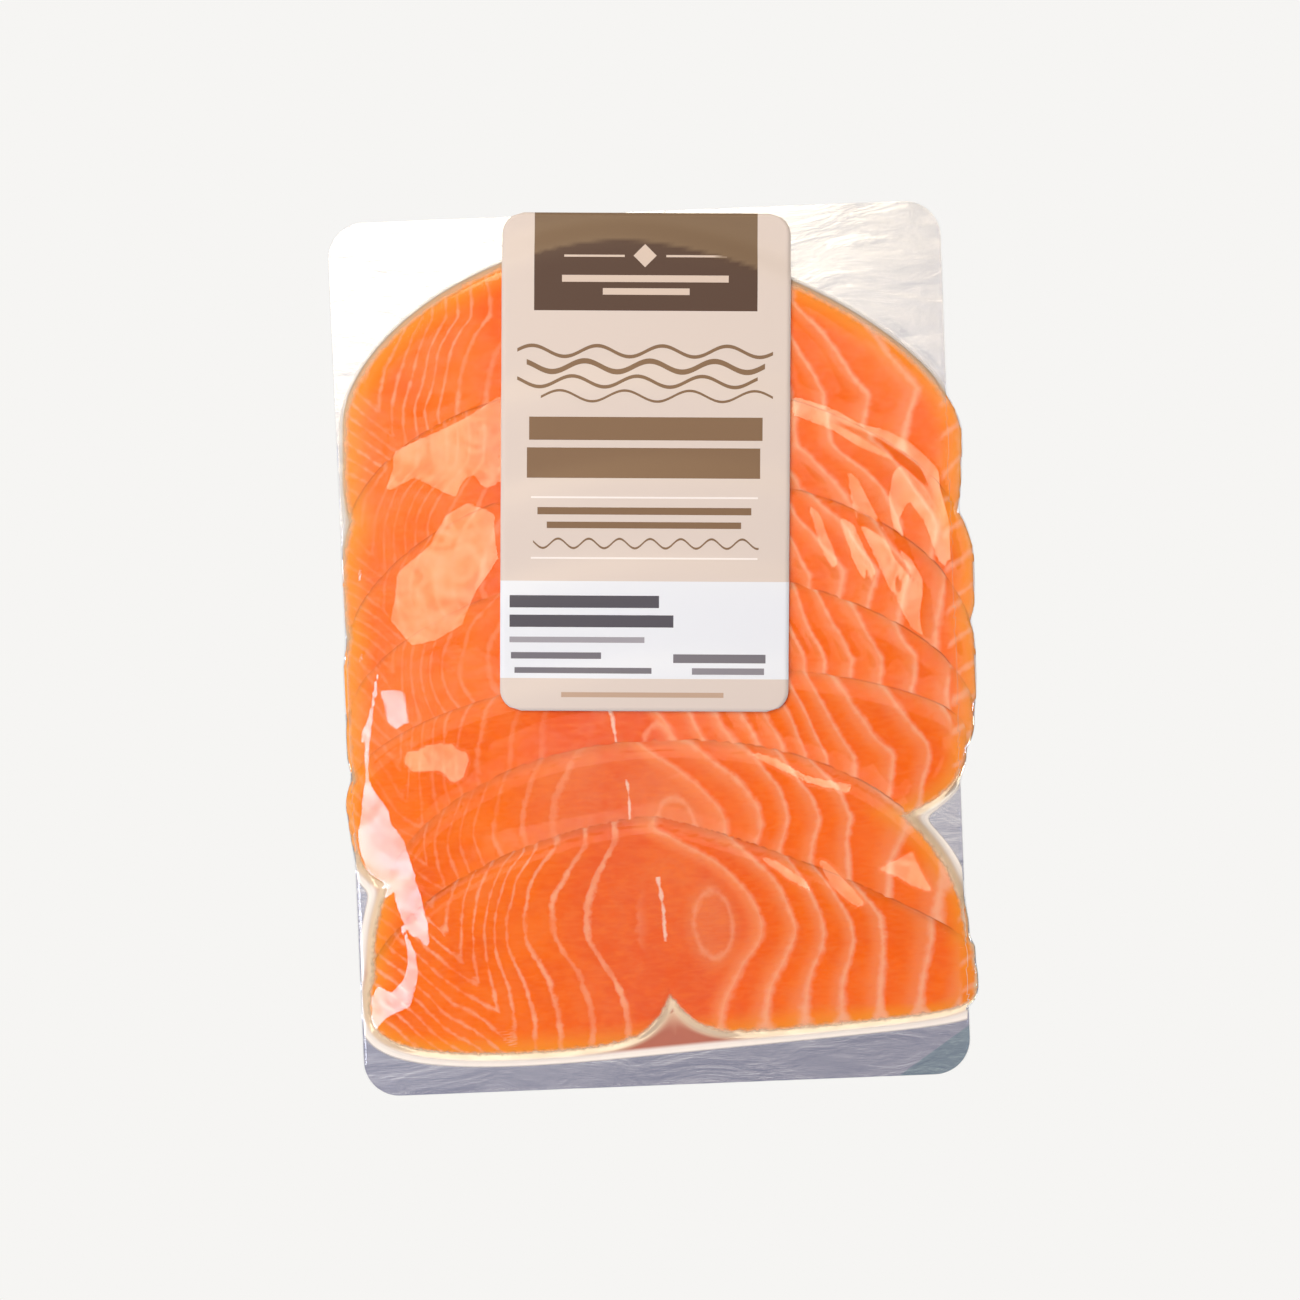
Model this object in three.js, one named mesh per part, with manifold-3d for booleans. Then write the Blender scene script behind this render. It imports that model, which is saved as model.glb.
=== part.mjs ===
// A vacuum pack of sliced smoked salmon: seven overlapping slices lie on a foil-covered card,
// clear film is drawn tight over them, and a paper label is stuck on the film.
// Millimetres, +Z up. The pack lies on its back, its head end towards +Y.
// The origin is the centre of the card's underside.
import * as THREE from "three";
import { mergeVertices } from "three/addons/utils/BufferGeometryUtils.js";
import Module from "manifold-3d";

// Card
const CARD_WIDTH = 170;
const CARD_LENGTH = 244;
const CARD_THICKNESS = 0.9;
const CARD_CORNER = 10;

// Film and fish, as one closed lump standing on the card
const LUMP_BASE = CARD_THICKNESS + 0.1;
const FILM_FOOT = 0.3; // the film's own thickness where it runs out on the card
const FILM_TENT = 2.2; // how far the film slopes out from a slice's edge to the card
const OVERHANG_TENT = 0.4; // the same where the fish passes the card's edge
const TENT_HOLLOW = 1.6; // above 1, the slope is hollow
const EDGE_MARGIN = 3; // how far inside the card's edge the film starts to hug the fish
const EDGE_ROUNDING = 3.5;
const EDGE_SHARE = 0.45; // the share of the height that the film has reached at the edge
const FALL_PER_MM = 0.05; // how much an overlapped slice sinks away from its crest
const SIDE_THINNING = 0.22; // the share of the height lost at a slice's two ends
const SIDE_FLATNESS = 4; // the higher, the nearer the ends the thinning starts

// Label
const LABEL_WIDTH = 80;
const LABEL_LENGTH = 138;
const LABEL_CORNER = 6;
const LABEL_THICKNESS = 0.35;
const LABEL_CENTRE = [0.6, 52.6];
const LABEL_TURN = -2.6; // degrees, clockwise seen from above
const LABEL_GAP = 0.4;
const LABEL_REACH = 3; // the paper bridges hollows narrower than about twice this
const LABEL_EASE = 4; // and bends no quicker than over this length
const LABEL_CELL = 5;
const CORNER_ROWS = [0, 0.07, 0.25, 0.6, 1]; // rows across a corner, as shares of its radius

// The slices from the head end down. Each is a rounded form about its centre: reach is how
// far it goes each way, bulge is the roundness of each quarter (1 is straight, 2 is an
// ellipse, more is squarer) and turn is in degrees. height is the film's height over its
// crest, above the card.
const SLICES = [
  {
    centre: [-6, 62],
    turn: -3,
    reach: { east: 95, north: 52.5, west: 77, south: 40 },
    bulge: { northEast: 1.62, northWest: 1.75, southWest: 5, southEast: 5 },
    height: 3.4,
    fall: 0,
  },
  {
    centre: [0, 22],
    turn: 0,
    reach: { east: 91, north: 53, west: 85, south: 30 },
    bulge: { northEast: 1.85, northWest: 2.3, southWest: 4.5, southEast: 4.5 },
    height: 5.2,
    fall: 0.04,
  },
  {
    centre: [0, -4],
    turn: 0,
    reach: { east: 90.5, north: 53, west: 85.8, south: 34 },
    bulge: { northEast: 2, northWest: 2, southWest: 4.5, southEast: 4 },
    height: 6,
    fall: FALL_PER_MM,
  },
  {
    centre: [0, -20],
    turn: 0,
    reach: { east: 89.5, north: 43.5, west: 85.8, south: 24 },
    bulge: { northEast: 1.75, northWest: 1.9, southWest: 4, southEast: 3 },
    height: 6.4,
    fall: FALL_PER_MM,
  },
  {
    centre: [-1, -33],
    turn: 6,
    reach: { east: 88, north: 28.5, west: 86, south: 28 },
    bulge: { northEast: 1.5, northWest: 2.3, southWest: 4.5, southEast: 3.3 },
    height: 6.6,
    fall: FALL_PER_MM,
  },
  {
    centre: [0, -85],
    turn: 0,
    reach: { east: 86, north: 60, west: 82, south: 8 },
    bulge: { northEast: 2.1, northWest: 2.1, southWest: 4, southEast: 4 },
    height: 6.8,
    fall: FALL_PER_MM,
  },
  {
    // The last slice lies on top and shows the notch between its two lobes.
    centre: [1, -91],
    turn: 3.5,
    reach: { east: 86.3, north: 45, west: 84.7, south: 19.2 },
    bulge: { northEast: 1.15, northWest: 1.85, southWest: 3.1, southEast: 9 },
    height: 6.8,
    fall: FALL_PER_MM,
    notch: { at: 0.4, depth: 12.2, width: 6.5 },
  },
];
const SLICE_SEGMENTS = 64;
const NOTCHED_SLICE_SEGMENTS = 128;
const TENT_RINGS = [-1, -0.5]; // rings of points, as shares of the tent's width outside
const ROUNDING_RINGS = [0, 0.17, 0.46, 1]; // as shares of the rounding, inside
const INNER_RINGS = [0.7, 0.35]; // as shares of the way from the centre to the rounding

const radians = THREE.MathUtils.degToRad;
const smooth = THREE.MathUtils.smoothstep;

// A point of the pack in a slice's own directions, measured from its centre.
function inSlice(slice, x, y) {
  const turn = radians(slice.turn);
  const dx = x - slice.centre[0];
  const dy = y - slice.centre[1];
  return [
    dx * Math.cos(turn) + dy * Math.sin(turn),
    dy * Math.cos(turn) - dx * Math.sin(turn),
  ];
}

function notchDepth(slice, u) {
  if (!slice.notch) return 0;
  const { at, depth, width } = slice.notch;
  return depth * Math.exp(-Math.abs(u - at) / width);
}

// 0 at a slice's centre, 1 on its outline, and more outside.
function outwards(slice, u, v) {
  const { reach, bulge } = slice;
  const across = u >= 0 ? reach.east : reach.west;
  const side = v >= 0 ? "north" : "south";
  const along = v >= 0 ? reach.north : reach.south - notchDepth(slice, u);
  const power = bulge[side + (u >= 0 ? "East" : "West")];
  return (
    (Math.abs(u / across) ** power + Math.abs(v / along) ** power) **
    (1 / power)
  );
}

// How far a point lies inside a slice's outline, negative outside.
function inside(slice, u, v) {
  const distance = Math.hypot(u, v);
  if (distance < 1e-6) return Infinity;
  let near = 0;
  let far = 2 * (slice.reach.east + slice.reach.west);
  for (let step = 0; step < 40; step += 1) {
    const middle = (near + far) / 2;
    if (outwards(slice, (u / distance) * middle, (v / distance) * middle) < 1)
      near = middle;
    else far = middle;
  }
  return near - distance;
}

// The film slopes out to the card, but hugs the fish where that passes the card's edge.
function tentWidth(x) {
  const edge = CARD_WIDTH / 2;
  const past = smooth(Math.abs(x), edge - EDGE_MARGIN, edge - OVERHANG_TENT);
  return FILM_TENT + (OVERHANG_TENT - FILM_TENT) * past;
}

// The height of the film over one slice, at a point that lies that far inside the outline.
function filmHeight(slice, x, y, depth) {
  const [u, v] = inSlice(slice, x, y);
  const { reach } = slice;
  const across = u >= 0 ? reach.east : reach.west;
  const sunk = slice.fall * Math.max(0, reach.north - v);
  const sideways = Math.min(1, Math.abs(u) / across) ** SIDE_FLATNESS;
  const crest = (slice.height - sunk) * (1 - SIDE_THINNING * sideways);
  const tent = tentWidth(x);
  if (depth <= -tent) return 0;
  if (depth < 0) return crest * EDGE_SHARE * (1 + depth / tent) ** TENT_HOLLOW;
  const round = 1 - Math.min(1, depth / EDGE_ROUNDING);
  return (
    crest * (EDGE_SHARE + (1 - EDGE_SHARE) * Math.sqrt(1 - round * round))
  );
}

// The height of the pack's film above the card at any point.
function packHeight(x, y) {
  let highest = 0;
  for (const slice of SLICES) {
    const [u, v] = inSlice(slice, x, y);
    const height = filmHeight(slice, x, y, inside(slice, u, v));
    highest = Math.max(highest, height);
  }
  return highest;
}

// The highest point of the film within the reach of the paper.
function bridgedHeight(x, y) {
  let highest = packHeight(x, y);
  for (let turn = 0; turn < 360; turn += 45) {
    const a = radians(turn);
    const height = packHeight(
      x + LABEL_REACH * Math.cos(a),
      y + LABEL_REACH * Math.sin(a),
    );
    highest = Math.max(highest, height);
  }
  return highest;
}

// The height at which the label lies: the bridged height, eased over a few millimetres.
function labelHeight(x, y) {
  let sum = 0;
  let weights = 0;
  for (const i of [-1, -0.5, 0, 0.5, 1]) {
    for (const j of [-1, -0.5, 0, 0.5, 1]) {
      const weight = Math.exp(-(i * i + j * j));
      sum += weight * bridgedHeight(x + i * LABEL_EASE, y + j * LABEL_EASE);
      weights += weight;
    }
  }
  return sum / weights;
}

function geometryOf(points, faces) {
  const geometry = new THREE.BufferGeometry();
  geometry.setAttribute(
    "position",
    new THREE.Float32BufferAttribute(points.flat(), 3),
  );
  geometry.setIndex(faces.flat());
  return geometry;
}

// A closed solid between two stacks of rings that share their plan: the top rings run from
// the rim to a middle point, and the underside is flat.
function lumpGeometry(slice, segments) {
  const points = [];
  const faces = [];
  const ringCount =
    TENT_RINGS.length + ROUNDING_RINGS.length + INNER_RINGS.length;
  for (let s = 0; s < segments; s += 1) {
    const a = (2 * Math.PI * s) / segments + radians(slice.turn - 90);
    const c = Math.cos(a);
    const d = Math.sin(a);
    const [u, v] = inSlice(slice, slice.centre[0] + c, slice.centre[1] + d);
    const edge = inside(slice, u, v) + 1;
    const tent = tentWidth(slice.centre[0] + edge * c);
    const depths = [
      ...TENT_RINGS.map((share) => share * tent),
      ...ROUNDING_RINGS.map((share) => share * EDGE_ROUNDING),
      ...INNER_RINGS.map((share) => edge - share * (edge - EDGE_ROUNDING)),
    ];
    for (const depth of depths) {
      const x = slice.centre[0] + (edge - depth) * c;
      const y = slice.centre[1] + (edge - depth) * d;
      const z = LUMP_BASE + FILM_FOOT + filmHeight(slice, x, y, depth);
      points.push([x, y, z]);
    }
    const rim = edge + tent;
    points.push([
      slice.centre[0] + rim * c,
      slice.centre[1] + rim * d,
      LUMP_BASE,
    ]);
  }
  const [cx, cy] = slice.centre;
  const top = points.length;
  points.push([
    cx,
    cy,
    LUMP_BASE + FILM_FOOT + filmHeight(slice, cx, cy, Infinity),
  ]);
  points.push([cx, cy, LUMP_BASE]);
  const stride = ringCount + 1;
  for (let s = 0; s < segments; s += 1) {
    const here = s * stride;
    const next = ((s + 1) % segments) * stride;
    for (let k = 0; k < ringCount - 1; k += 1) {
      faces.push([here + k, next + k, next + k + 1]);
      faces.push([here + k, next + k + 1, here + k + 1]);
    }
    faces.push([here + ringCount - 1, next + ringCount - 1, top]);
    faces.push([here + ringCount, next + ringCount, next]);
    faces.push([here + ringCount, next, here]);
    faces.push([next + ringCount, here + ringCount, top + 1]);
  }
  return geometryOf(points, faces);
}

// A thin sheet with rounded corners, lying at the height that lift gives for each point.
function sheetGeometry(width, length, corner, thickness, place, lift) {
  const cornerRows = CORNER_ROWS.map((share) => share * corner);
  const innerRows = Math.round((length - 2 * corner) / LABEL_CELL);
  const rows = [...cornerRows];
  for (let i = 1; i < innerRows; i += 1)
    rows.push(corner + ((length - 2 * corner) * i) / innerRows);
  rows.push(...cornerRows.map((row) => length - row).reverse());
  const columns = Math.round(width / LABEL_CELL);
  const points = [];
  for (const side of [1, 0]) {
    for (const row of rows) {
      const fromEnd = Math.min(row, length - row, corner);
      const short = corner - Math.sqrt(corner ** 2 - (corner - fromEnd) ** 2);
      const half = width / 2 - short;
      for (let j = 0; j <= columns; j += 1) {
        const [x, y] = place(
          half * ((2 * j) / columns - 1),
          row - length / 2,
        );
        points.push([x, y, lift(x, y) + side * thickness]);
      }
    }
  }
  const across = columns + 1;
  const under = rows.length * across;
  const faces = [];
  for (let i = 0; i < rows.length - 1; i += 1) {
    for (let j = 0; j < columns; j += 1) {
      const a = i * across + j;
      const b = a + 1;
      const c = a + across;
      const d = c + 1;
      faces.push([a, b, d], [a, d, c]);
      faces.push([under + a, under + d, under + b]);
      faces.push([under + a, under + c, under + d]);
    }
  }
  const wall = (a, b) => {
    faces.push([under + a, under + b, b], [under + a, b, a]);
  };
  const last = (rows.length - 1) * across;
  for (let j = 0; j < columns; j += 1) {
    wall(j, j + 1);
    wall(last + j + 1, last + j);
  }
  for (let i = 0; i < rows.length - 1; i += 1) {
    wall((i + 1) * across, i * across);
    wall(i * across + columns, (i + 1) * across + columns);
  }
  return geometryOf(points, faces);
}

function cardGeometry() {
  const x = CARD_WIDTH / 2;
  const y = CARD_LENGTH / 2;
  const r = CARD_CORNER;
  const quarter = Math.PI / 2;
  const outline = new THREE.Shape();
  outline.absarc(x - r, y - r, r, 0, quarter);
  outline.absarc(-x + r, y - r, r, quarter, 2 * quarter);
  outline.absarc(-x + r, -y + r, r, 2 * quarter, 3 * quarter);
  outline.absarc(x - r, -y + r, r, 3 * quarter, 4 * quarter);
  return new THREE.ExtrudeGeometry(outline, {
    depth: CARD_THICKNESS,
    bevelEnabled: false,
    curveSegments: 8,
  });
}

const wasm = await Module();
wasm.setup();

function manifoldOf(geometry) {
  const merged = mergeVertices(geometry, 1e-4);
  return new wasm.Manifold(
    new wasm.Mesh({
      numProp: 3,
      vertProperties: merged.attributes.position.array,
      triVerts: new Uint32Array(merged.index.array),
    }),
  );
}

// The film-covered slices joined into one lump.
function lumpOfSlices() {
  const joined = SLICES.map((slice) =>
    manifoldOf(
      lumpGeometry(
        slice,
        slice.notch ? NOTCHED_SLICE_SEGMENTS : SLICE_SEGMENTS,
      ),
    ),
  ).reduce((lump, slice) => lump.add(slice));
  const mesh = joined.getMesh();
  const geometry = new THREE.BufferGeometry();
  geometry.setAttribute(
    "position",
    new THREE.BufferAttribute(mesh.vertProperties, 3),
  );
  geometry.setIndex(new THREE.BufferAttribute(mesh.triVerts, 1));
  return geometry;
}

function labelGeometry() {
  const turn = radians(LABEL_TURN);
  const place = (u, v) => [
    LABEL_CENTRE[0] + u * Math.cos(turn) - v * Math.sin(turn),
    LABEL_CENTRE[1] + u * Math.sin(turn) + v * Math.cos(turn),
  ];
  const lift = (x, y) =>
    LUMP_BASE + FILM_FOOT + LABEL_GAP + labelHeight(x, y);
  return sheetGeometry(
    LABEL_WIDTH,
    LABEL_LENGTH,
    LABEL_CORNER,
    LABEL_THICKNESS,
    place,
    lift,
  );
}

const pack = new THREE.Group();

function addPiece(name, geometry, colour, roughness, metalness) {
  geometry.computeVertexNormals();
  const material = new THREE.MeshStandardMaterial({
    color: colour,
    roughness,
    metalness,
    flatShading: true,
  });
  const mesh = new THREE.Mesh(geometry, material);
  mesh.name = name;
  pack.add(mesh);
}

addPiece("foil_card", cardGeometry(), 0xc9c9cc, 0.25, 0.9);
addPiece("sealed_slices", lumpOfSlices(), 0xf26d2c, 0.3, 0);
addPiece("label", labelGeometry(), 0xe8d5c6, 0.6, 0);

export default pack;
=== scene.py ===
"""A vacuum pack of sliced smoked salmon, seen from straight above.

Seven overlapping slices lie on a foil-covered card, clear film is drawn tight over them and round
the card, and a paper label is stuck on the film. Sizes are in millimetres until a mesh is made.
"""

import math

import bpy
import numpy as np
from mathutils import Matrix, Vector


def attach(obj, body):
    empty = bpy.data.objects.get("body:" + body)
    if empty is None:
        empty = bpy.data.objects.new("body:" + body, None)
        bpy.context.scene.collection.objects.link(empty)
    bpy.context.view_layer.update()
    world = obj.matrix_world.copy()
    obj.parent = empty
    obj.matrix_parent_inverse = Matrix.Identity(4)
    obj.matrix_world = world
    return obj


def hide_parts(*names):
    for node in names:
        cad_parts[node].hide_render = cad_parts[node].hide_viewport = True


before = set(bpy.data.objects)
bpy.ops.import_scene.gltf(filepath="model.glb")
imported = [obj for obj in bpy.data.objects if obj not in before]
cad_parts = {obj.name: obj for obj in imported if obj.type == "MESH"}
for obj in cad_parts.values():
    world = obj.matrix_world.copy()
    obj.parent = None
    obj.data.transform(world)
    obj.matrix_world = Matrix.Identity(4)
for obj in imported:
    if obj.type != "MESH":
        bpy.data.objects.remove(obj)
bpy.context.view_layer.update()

MM = 0.001


# The card is grey board laminated with silver foil on both faces, die-cut with round corners.
# The foil has a fine rolled grain across the pack and is softly crinkled from the sealing.
CARD_WIDTH = 170
CARD_LENGTH = 244
CARD_THICKNESS = 0.9
CARD_CORNER = 10


def linear(code):
    """An sRGB colour such as "#C9C9CC" as linear red, green, blue and alpha."""
    parts = [int(code[i : i + 2], 16) / 255 for i in (1, 3, 5)]
    return [c / 12.92 if c <= 0.04045 else ((c + 0.055) / 1.055) ** 2.4 for c in parts] + [1.0]


def new_material(name):
    material = bpy.data.materials.new(name)
    material.use_nodes = True
    material.node_tree.nodes.clear()
    return material


def node(tree, kind, inputs=None, **settings):
    """Adds a node with its settings; its inputs are linked to sockets or set to values."""
    made = tree.nodes.new(kind)
    for name, value in settings.items():
        setattr(made, name, value)
    for key, value in (inputs or {}).items():
        if isinstance(value, bpy.types.NodeSocket):
            tree.links.new(value, made.inputs[key])
        else:
            made.inputs[key].default_value = value
    return made


SOFT = {"interpolation_type": "SMOOTHSTEP"}  # gives a map range soft ends

# Aluminium foil laminate, cold rolled: a metal face over the board's grey core. Its grain is about
# 0.2 x 3 mm and its crinkles are about 8 x 22 mm.
foil = new_material("foil_laminate_rolled")
t = foil.node_tree
place = node(t, "ShaderNodeTexCoord").outputs["Object"]
grain_place = node(t, "ShaderNodeVectorMath", {0: place, 1: (300, 5200, 300)}, operation="MULTIPLY")
grain = node(t, "ShaderNodeTexNoise", {"Vector": grain_place.outputs[0], "Scale": 1.0, "Detail": 2.0})
drawn = node(t, "ShaderNodeVectorMath", {0: place, 1: (0.45, 1.2, 1)}, operation="MULTIPLY").outputs[0]
crinkle = node(t, "ShaderNodeTexNoise", {"Vector": drawn, "Scale": 100.0, "Detail": 4.0, "Distortion": 1.0})
fine_bump = node(
    t, "ShaderNodeBump", {"Height": grain.outputs["Fac"], "Strength": 0.3, "Distance": 0.00005}
)
soft_bump = node(
    t,
    "ShaderNodeBump",
    {
        "Height": crinkle.outputs["Fac"],
        "Strength": 0.45,
        "Distance": 0.0004,
        "Normal": fine_bump.outputs["Normal"],
    },
)
# The foil is bluer and duller in the near right corner, beyond a straight edge.
TINTED_CORNER_AT = (0.0638, -0.1225, 0)  # a point on the edge of the tinted corner, in metres
TINTED_CORNER_OUT = (0.557, -0.8305, 0)  # square to that edge, towards the corner
from_tint_edge = node(t, "ShaderNodeVectorMath", {0: place, 1: TINTED_CORNER_AT}, operation="SUBTRACT")
from_tint_edge = node(t, "ShaderNodeVectorMath", {0: from_tint_edge.outputs[0], 1: TINTED_CORNER_OUT}, operation="DOT_PRODUCT")
from_tint_edge = from_tint_edge.outputs["Value"]
in_tinted_corner = node(t, "ShaderNodeMapRange", {"Value": from_tint_edge, 1: -0.0001, 2: 0.0004}).outputs[0]
foil_colour = node(
    t,
    "ShaderNodeMix",
    {"Factor": in_tinted_corner, "A": linear("#D6DAE2"), "B": linear("#B8CCD0")},
    data_type="RGBA",
).outputs["Result"]
foil_face = node(
    t,
    "ShaderNodeBsdfPrincipled",
    {
        "Base Color": foil_colour,
        "Metallic": 1.0,
        "Roughness": 0.24,
        "Normal": soft_bump.outputs["Normal"],
    },
)
core = node(t, "ShaderNodeBsdfPrincipled", {"Base Color": linear("#C9C6C0"), "Roughness": 0.85})
facing = node(t, "ShaderNodeSeparateXYZ", {0: node(t, "ShaderNodeNewGeometry").outputs["True Normal"]})
level = node(t, "ShaderNodeMath", {0: facing.outputs["Z"]}, operation="ABSOLUTE")
on_face = node(t, "ShaderNodeMath", {0: level.outputs[0], 1: 0.5}, operation="GREATER_THAN")
card_mix = node(
    t, "ShaderNodeMixShader", {0: on_face.outputs[0], 1: core.outputs[0], 2: foil_face.outputs[0]}
)
node(t, "ShaderNodeOutputMaterial", {"Surface": card_mix.outputs[0]})

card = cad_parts["foil_card"]
card.data.materials.clear()
card.data.materials.append(foil)


# Seven slices of cold-smoked salmon, cut thin across the whole side and laid from the head end
# down, each over the one before. Pale fat lines part the muscle into rings and chevrons.
LUMP_BASE = 1.0  # 0.1 above the card, the level that heights over it are counted from
FILM_TENT = 2.2  # how far the film slopes out from a slice's edge to the card
OVERHANG_TENT = 0.4  # the same where the fish passes the card's edge
TENT_HOLLOW = 1.6  # how hollow the film hangs there, 1 is straight
EDGE_MARGIN = 3  # the width inside the card's edge over which the tent narrows
EDGE_ROUNDING = 3.5  # the width of a slice's rounded rim
EDGE_SHARE = 0.45  # the rim's height as a share of the slice's
SIDE_THINNING = 0.22  # how much lower a slice is at its two sides, as a share
SIDE_FLATNESS = 4  # how long it stays level before that
THINNEST = 0.12  # a slice's thickness at its feathered rim
FOIL_GAP = 0.05  # between the foil and what lies on it
OVER_BED = 0.02  # a slice's underside over what it lies on
UNDER_FILM = 0.1  # a slice's top under the film
LEAST_RIM = 0.06  # its least thickness there where the film holds it down
SPLAY = 0.7  # how far the underside passes the upper rim, away from the card's two sides
SLICE_ANGLES = 320
RIM_DEPTHS = [0, 0.25, 0.7, 1.4, 2.4, 3.6, 5]  # the mesh's rings, as distances inside the outline
INNER_RINGS = 34  # from the last of those to the centre
HALVINGS = 40  # steps that find a slice's outline along each ray
SOLVING_STEPS = 24  # steps that find which fat line a point belongs to

# Each slice's centre and turn, its reach to the right, the head, the left and the foot, and how
# square its outline is in the quarters between them, from head right round by the left. Then its
# height, and how many millimetres that falls per millimetre from its head edge. The anchor is where
# its two lobes meet, and the fat lines are counted from there: how they lean in above it, how bold
# they are on the left, how high the film ripples over them and how dense they lie. The last two
# have a painted shade along their edges over the slice below and a paler middle, and the last a
# notch: its place, depth and width.
SLICES = [
    dict(centre=(-6, 62), turn=-3, reach=(95, 52.5, 77, 40), bulge=(1.62, 1.75, 5, 5),
         height=3.4, fall=0, anchor=(-10.8, 70.5), lean=0.7, left_bold=0.75, ripple=0.08),
    dict(centre=(0, 22), turn=0, reach=(91, 53, 85, 30), bulge=(1.85, 2.3, 4.5, 4.5),
         height=5.2, fall=0.04, anchor=(-15.2, 30.1), lean=0.6, left_bold=0.4, ripple=0.2, dense=1.4),
    dict(centre=(0, -4), turn=0, reach=(90.5, 53, 85.8, 34), bulge=(2, 2, 4.5, 4),
         height=6, fall=0.05, anchor=(-14.2, 19.7), lean=0.6, left_bold=0.4, ripple=0.26, dense=1.5),
    dict(centre=(0, -20), turn=0, reach=(89.5, 43.5, 85.8, 24), bulge=(1.75, 1.9, 4, 3),
         height=6.4, fall=0.05, anchor=(-12.4, -3.5), lean=0.6, left_bold=0.4, ripple=0.26, dense=1.5),
    dict(centre=(-1, -33), turn=6, reach=(88, 28.5, 86, 28), bulge=(1.5, 2.3, 4.5, 3.3),
         height=6.6, fall=0.05, anchor=(-9.8, -30.1), lean=0.6, left_bold=0.4, ripple=0.2, dense=1.4),
    dict(centre=(0, -85), turn=0, reach=(86, 60, 82, 8), bulge=(2.1, 2.1, 4, 4),
         height=6.8, fall=0.05, anchor=(-6.1, -49.3), lean=0.8, left_bold=0.45, ripple=0.06,
         edge_shade=0.1, pale=0.8, ring_pale=0.5),
    dict(centre=(1, -91), turn=3.5, reach=(86.3, 45, 84.7, 19.2), bulge=(1.15, 1.85, 3.1, 9),
         height=6.8, fall=0.05, anchor=(1.5, -76.6), lean=1.0, left_bold=1.0, ripple=0.06,
         edge_shade=0.2, pale=0.25, ring_pale=0.5, notch=(0.4, 12.2, 6.5)),
]

# The fat lines' places, as distances from the anchor: the right lobe's where each stands out
# furthest, the left lobe's along the lower edge. The tables by line say how far it draws in towards
# its lower end, and how it leans in and rounds off above. Beyond a corner the left lobe's lines
# turn into slanting chevrons, and a belt of short slanting lines runs down the right-hand end.
RING_CENTRE = 11.4
RIGHT_LINES = [0, 12, 25.5, 35.1, 42.4, 51.3, 61, 74.8, 88, 104]
DRAWN_IN = [2, 8, 11.2, 8.4, 5.3, 4.2, 3, 5.6, 5, 5]
LEAN = [0, 0, 0, 0, 0.05, 0.4, 0.85, 1.2, 1.2, 1.2]
ROUND = [0.03, 0.05, 0.039, 0.029, 0.02, 0.012, 0, 0, 0, 0]
LEFT_LINES = [0, 11.7, 22.6, 31, 37.4, 43.5, 48.2, 52.7, 57, 61.5, 66, 71, 76, 81, 86, 91]
LEFT_DRAWN_IN = [8, 11.7, 9.2, 9, 7.6, 5, 3, 2, 1, 0, 0, 0, 0, 0, 0, 0]
CHEVRON_CORNER = (-46, -26)
CHEVRON_NORMAL = (-0.645, -0.766)
CHEVRON_PITCH = 3.4
BELT_WIDTH = 11
BELT_PITCH = 7.8  # square to its lines
BELT_SLANT = 0.62
BELT_COSINE = 0.85  # of the angle of that slant
BELT_EDGE = 93  # the belt's outer side, across from the pack's middle

CELL = 0.5
XS = np.arange(-97, 97.01, CELL)
YS = np.arange(-128, 128.01, CELL)
GRID_X, GRID_Y = np.meshgrid(XS, YS)


def smooth(value, low, high):
    share = np.clip((value - low) / (high - low), 0, 1)
    return share * share * (3 - 2 * share)


def in_slice(piece, x, y):
    turn = math.radians(piece["turn"])
    dx = x - piece["centre"][0]
    dy = y - piece["centre"][1]
    return dx * math.cos(turn) + dy * math.sin(turn), dy * math.cos(turn) - dx * math.sin(turn)


def outwards(piece, u, v):
    """0 at a slice's centre, 1 on its outline, and more outside."""
    east, north, west, south = piece["reach"]
    if "notch" in piece:
        at, depth, width = piece["notch"]
        south = south - depth * np.exp(-np.abs(u - at) / width)
    across = np.where(u >= 0, east, west)
    along = np.where(v >= 0, north, south)
    ne, nw, sw, se = piece["bulge"]
    power = np.where(v >= 0, np.where(u >= 0, ne, nw), np.where(u >= 0, se, sw))
    return (np.abs(u / across) ** power + np.abs(v / along) ** power) ** (1 / power)


def edge_distance(piece, x, y):
    """How far points lie inside a slice's outline, square to it, negative outside."""
    u, v = in_slice(piece, x, y)
    step = 0.05
    here = outwards(piece, u, v)
    slope_u = (outwards(piece, u + step, v) - outwards(piece, u - step, v)) / (2 * step)
    slope_v = (outwards(piece, u, v + step) - outwards(piece, u, v - step)) / (2 * step)
    return (1 - here) / np.maximum(np.hypot(slope_u, slope_v), 1e-3)


def film_height(piece, x, y, depth):
    """The film's height above the card over one slice."""
    u, v = in_slice(piece, x, y)
    east, north, west, south = piece["reach"]
    sunk = piece["fall"] * np.maximum(0, north - v)
    sideways = np.minimum(1, np.abs(u) / np.where(u >= 0, east, west)) ** SIDE_FLATNESS
    crest = (piece["height"] - sunk) * (1 - SIDE_THINNING * sideways)
    past = smooth(np.abs(x), CARD_WIDTH / 2 - EDGE_MARGIN, CARD_WIDTH / 2 - OVERHANG_TENT)
    tent = FILM_TENT + (OVERHANG_TENT - FILM_TENT) * past
    round_share = 1 - np.clip(depth / EDGE_ROUNDING, 0, 1)
    over = crest * (EDGE_SHARE + (1 - EDGE_SHARE) * np.sqrt(1 - round_share**2))
    beside = crest * EDGE_SHARE * np.clip(1 + depth / tent, 0, 1) ** TENT_HOLLOW
    return np.where(depth >= 0, over, beside)


def inside_loop(loop, x, y):
    """True for the points inside a closed loop of corners."""
    found = np.zeros(np.shape(x), bool)
    for (x0, y0), (x1, y1) in zip(loop, loop[1:] + loop[:1]):
        if y0 != y1:
            crossing = (y0 > y) != (y1 > y)
            found ^= crossing & (x < (x1 - x0) * (y - y0) / (y1 - y0) + x0)
    return found


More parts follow.
